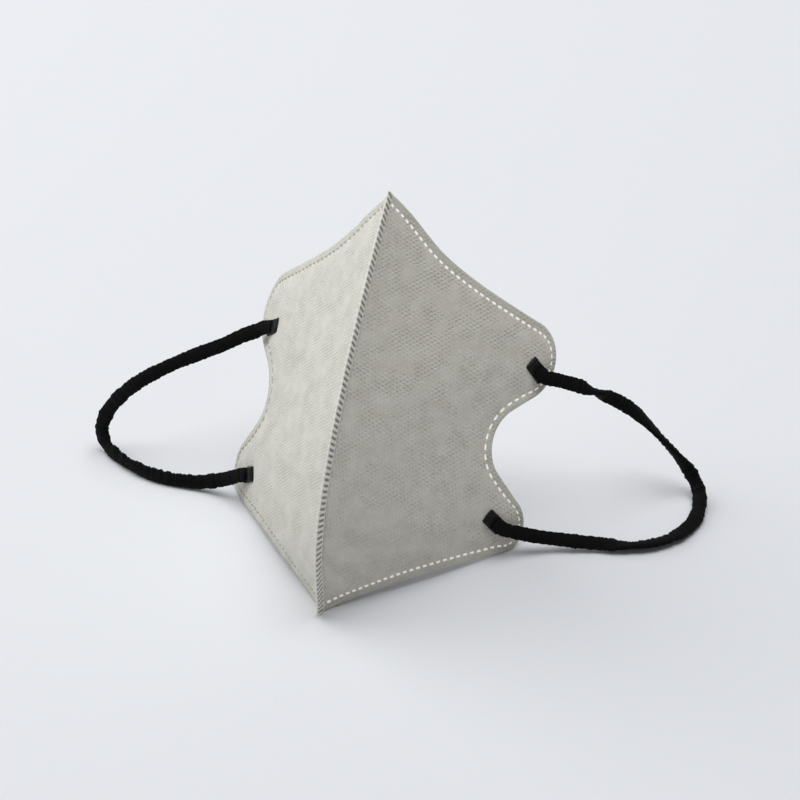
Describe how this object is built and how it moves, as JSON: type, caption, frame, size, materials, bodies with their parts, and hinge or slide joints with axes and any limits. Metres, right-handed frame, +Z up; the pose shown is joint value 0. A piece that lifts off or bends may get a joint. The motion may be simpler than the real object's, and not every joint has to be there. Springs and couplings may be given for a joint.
{
  "type": "disposable dust mask",
  "caption": "V-fold nonwoven dust mask with layered halves joined by a curved centre weld seam and elastic ear loops welded to the lobes.",
  "frame": {"origin": "middle of the mask body's footprint, on the surface it stands on, without the ear loops", "axes": "+Z up; the centre seam faces -Y and the open, face side is towards +Y; +X is the right half seen from the front"},
  "size_m": [0.2096, 0.1103, 0.1251],
  "materials": {
    "outer_spunbond": "light warm grey point-bonded spunbond nonwoven",
    "welded_nonwoven": "the same nonwoven pressed and welded with bars across the seam",
    "support_cotton": "white lofty hot-air bonded fibre",
    "filter_meltblown": "white smooth meltblown web",
    "inner_spunbond": "soft white spunbond with a faint warm tint",
    "knitted_elastic": "black flat knitted elastic with fine ribs",
    "welded_elastic": "black elastic melted flat with a fine cross-hatched imprint"
  },
  "bodies": {
    "seam": {"centre_weld_seam": "welded_nonwoven"},
    "right_half": {"outer_cover_right": "outer_spunbond", "support_layer_right": "support_cotton", "filter_layer_right": "filter_meltblown", "inner_lining_right": "inner_spunbond", "loop_weld_upper_right": "welded_elastic", "loop_weld_lower_right": "welded_elastic", "ear_loop_right": "knitted_elastic"},
    "left_half": {"outer_cover_left": "outer_spunbond", "support_layer_left": "support_cotton", "filter_layer_left": "filter_meltblown", "inner_lining_left": "inner_spunbond", "loop_weld_upper_left": "welded_elastic", "loop_weld_lower_left": "welded_elastic", "ear_loop_left": "knitted_elastic"}
  },
  "joints": [
    {"name": "left_half_fold", "type": "hinge", "parent": "seam", "child": "left_half", "pos_m": [0, -0.04494, 0], "axis": [0, -0.509, -0.8607], "range_deg": [-8, 30]},
    {"name": "right_half_fold", "type": "hinge", "parent": "seam", "child": "right_half", "pos_m": [0, -0.04494, 0], "axis": [0, 0.509, 0.8607], "range_deg": [-8, 30]}
  ],
  "couplings": [
    {"joint": "right_half_fold", "follows": "left_half_fold", "ratio": 1}
  ]
}
